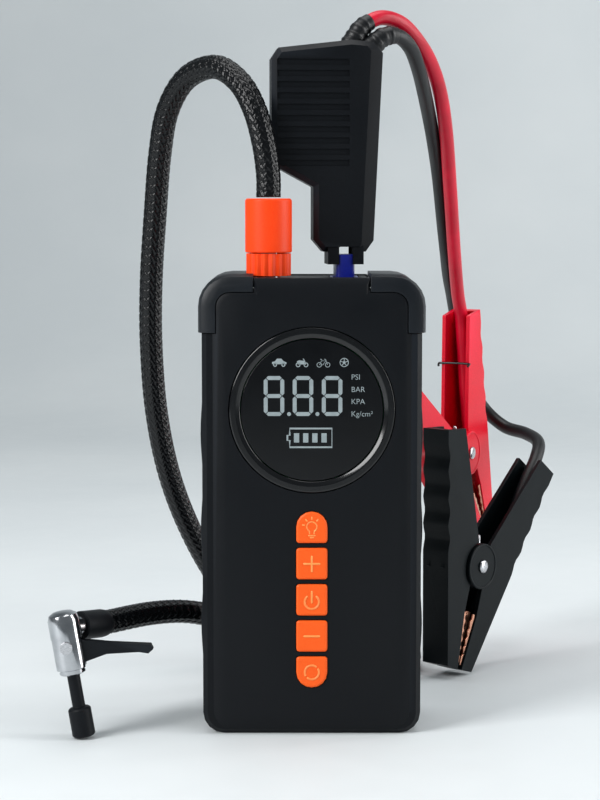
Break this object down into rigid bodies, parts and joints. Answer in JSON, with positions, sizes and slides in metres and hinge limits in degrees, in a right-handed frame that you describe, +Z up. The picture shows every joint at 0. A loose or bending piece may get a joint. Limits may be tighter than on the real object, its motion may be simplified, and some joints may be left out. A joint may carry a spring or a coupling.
{
  "type": "jump starter pack",
  "caption": "Upright car jump starter pack with a round display, push buttons, a braided inflator hose ending in a lever chuck, and a plug-in lead with red and black jumper clamps.",
  "frame": {"origin": "centre of the pack's base, on the surface that it stands on", "axes": "+Z up along the pack's height, +Y towards its back, +X to the right seen from the front"},
  "size_m": [0.2328, 0.2282, 0.3079],
  "materials": {
    "casing": "fine matte texture",
    "rubber": "soft matte",
    "gloss_black": "polished",
    "orange": "satin moulded",
    "red": "satin moulded",
    "black_clamp": "satin moulded",
    "blue": "moulded",
    "board": "solder mask",
    "foil": "embossed pouch foil",
    "steel": "brushed",
    "chrome": "polished",
    "copper": "copper-plated",
    "aluminium": "cast",
    "clear": "clear moulded",
    "braid": "braided sleeve",
    "red_cable": "silicone",
    "black_cable": "silicone"
  },
  "bodies": {
    "pack": {"front_shell": "casing", "rear_shell": "casing", "left_corner_guard": "rubber", "right_corner_guard": "rubber", "left_side_grip": "rubber", "right_side_grip": "rubber", "top_panel": "casing", "display_bezel": "gloss_black", "display_lens": "gloss_black", "display_module": "board", "main_board": "board", "battery_cell_1": "foil", "battery_cell_2": "foil", "case_screw_1": "steel", "case_screw_2": "steel", "case_screw_3": "steel", "case_screw_4": "steel", "lamp_lens": "clear", "usb_a_port": "steel", "usb_c_port": "steel", "ec5_socket": "blue", "air_outlet": "chrome", "motor": "steel", "pump_bracket": "aluminium", "pump_cylinder": "aluminium", "hose_collar": "orange", "air_hose": "braid", "hose_ferrule": "casing", "chuck_body": "chrome", "chuck_pin": "steel"},
    "clamp_lead": {"ec5_plug": "blue", "module_front_shell": "casing", "module_rear_shell": "casing", "module_board": "board", "red_cable": "red_cable", "black_cable": "black_cable", "red_cable_clip": "chrome", "red_fixed_arm": "red", "red_fixed_jaw": "copper", "red_pin": "steel", "red_spring": "steel", "black_fixed_arm": "black_clamp", "black_fixed_jaw": "copper", "black_pin": "steel", "black_spring": "steel"},
    "red_moving_arm": {"red_moving_arm": "red", "red_moving_jaw": "copper"},
    "black_moving_arm": {"black_moving_arm": "black_clamp", "black_moving_jaw": "copper"},
    "crank": {"crank_gear": "steel"},
    "pinion": {"motor_pinion": "steel"},
    "piston": {"piston_rod": "aluminium"},
    "hose_nut": {"hose_nut": "orange"},
    "chuck_lever": {"chuck_lever": "casing"},
    "valve_adapter": {"valve_adapter": "casing"},
    "button_light": {"button_light": "orange"},
    "button_plus": {"button_plus": "orange"},
    "button_power": {"button_power": "orange"},
    "button_minus": {"button_minus": "orange"},
    "button_mode": {"button_mode": "orange"}
  },
  "joints": [
    {"name": "button_light_press", "type": "slide", "parent": "pack", "child": "button_light", "axis": [0, 1, 0], "range_m": [0, 0.0008], "stiffness_N_per_m": 300},
    {"name": "button_plus_press", "type": "slide", "parent": "pack", "child": "button_plus", "axis": [0, 1, 0], "range_m": [0, 0.0008], "stiffness_N_per_m": 300},
    {"name": "button_power_press", "type": "slide", "parent": "pack", "child": "button_power", "axis": [0, 1, 0], "range_m": [0, 0.0008], "stiffness_N_per_m": 300},
    {"name": "button_minus_press", "type": "slide", "parent": "pack", "child": "button_minus", "axis": [0, 1, 0], "range_m": [0, 0.0008], "stiffness_N_per_m": 300},
    {"name": "button_mode_press", "type": "slide", "parent": "pack", "child": "button_mode", "axis": [0, 1, 0], "range_m": [0, 0.0008], "stiffness_N_per_m": 300},
    {"name": "clamp_lead_unplug", "type": "slide", "parent": "pack", "child": "clamp_lead", "axis": [0, 0, 1], "range_m": [0, 0.016]},
    {"name": "red_clamp_squeeze", "type": "hinge", "parent": "clamp_lead", "child": "red_moving_arm", "pos_m": [0.073, 0.1492, 0.1], "axis": [-0.8829, 0.4695, 0], "range_deg": [0, 30], "stiffness_Nm_per_rad": 0.4},
    {"name": "black_clamp_squeeze", "type": "hinge", "parent": "clamp_lead", "child": "black_moving_arm", "pos_m": [0.0757, 0.0989, 0.0516], "axis": [-0.7547, 0.6561, 0], "range_deg": [0, 30], "stiffness_Nm_per_rad": 0.4},
    {"name": "crank_spin", "type": "hinge", "parent": "pack", "child": "crank", "pos_m": [-0.006, -0.003, 0.133], "axis": [1, 0, 0], "continuous": true},
    {"name": "pinion_spin", "type": "hinge", "parent": "pack", "child": "pinion", "pos_m": [-0.006, -0.003, 0.117], "axis": [1, 0, 0], "continuous": true},
    {"name": "piston_stroke", "type": "slide", "parent": "pack", "child": "piston", "axis": [0, 0, 1], "range_m": [0, 0.012]},
    {"name": "hose_nut_spin", "type": "hinge", "parent": "pack", "child": "hose_nut", "pos_m": [-0.01835, -0.0055, 0.1943], "axis": [0, 0, 1], "continuous": true},
    {"name": "chuck_lever_flip", "type": "hinge", "parent": "pack", "child": "chuck_lever", "pos_m": [-0.10271, -0.03, 0.0399], "axis": [0, 1, 0], "range_deg": [0, 30]},
    {"name": "valve_adapter_spin", "type": "hinge", "parent": "pack", "child": "valve_adapter", "pos_m": [-0.0962, -0.03, 0.001], "axis": [-0.165, 0, 0.9863], "continuous": true}
  ],
  "couplings": [
    {"joint": "pinion_spin", "follows": "crank_spin", "ratio": -3}
  ]
}
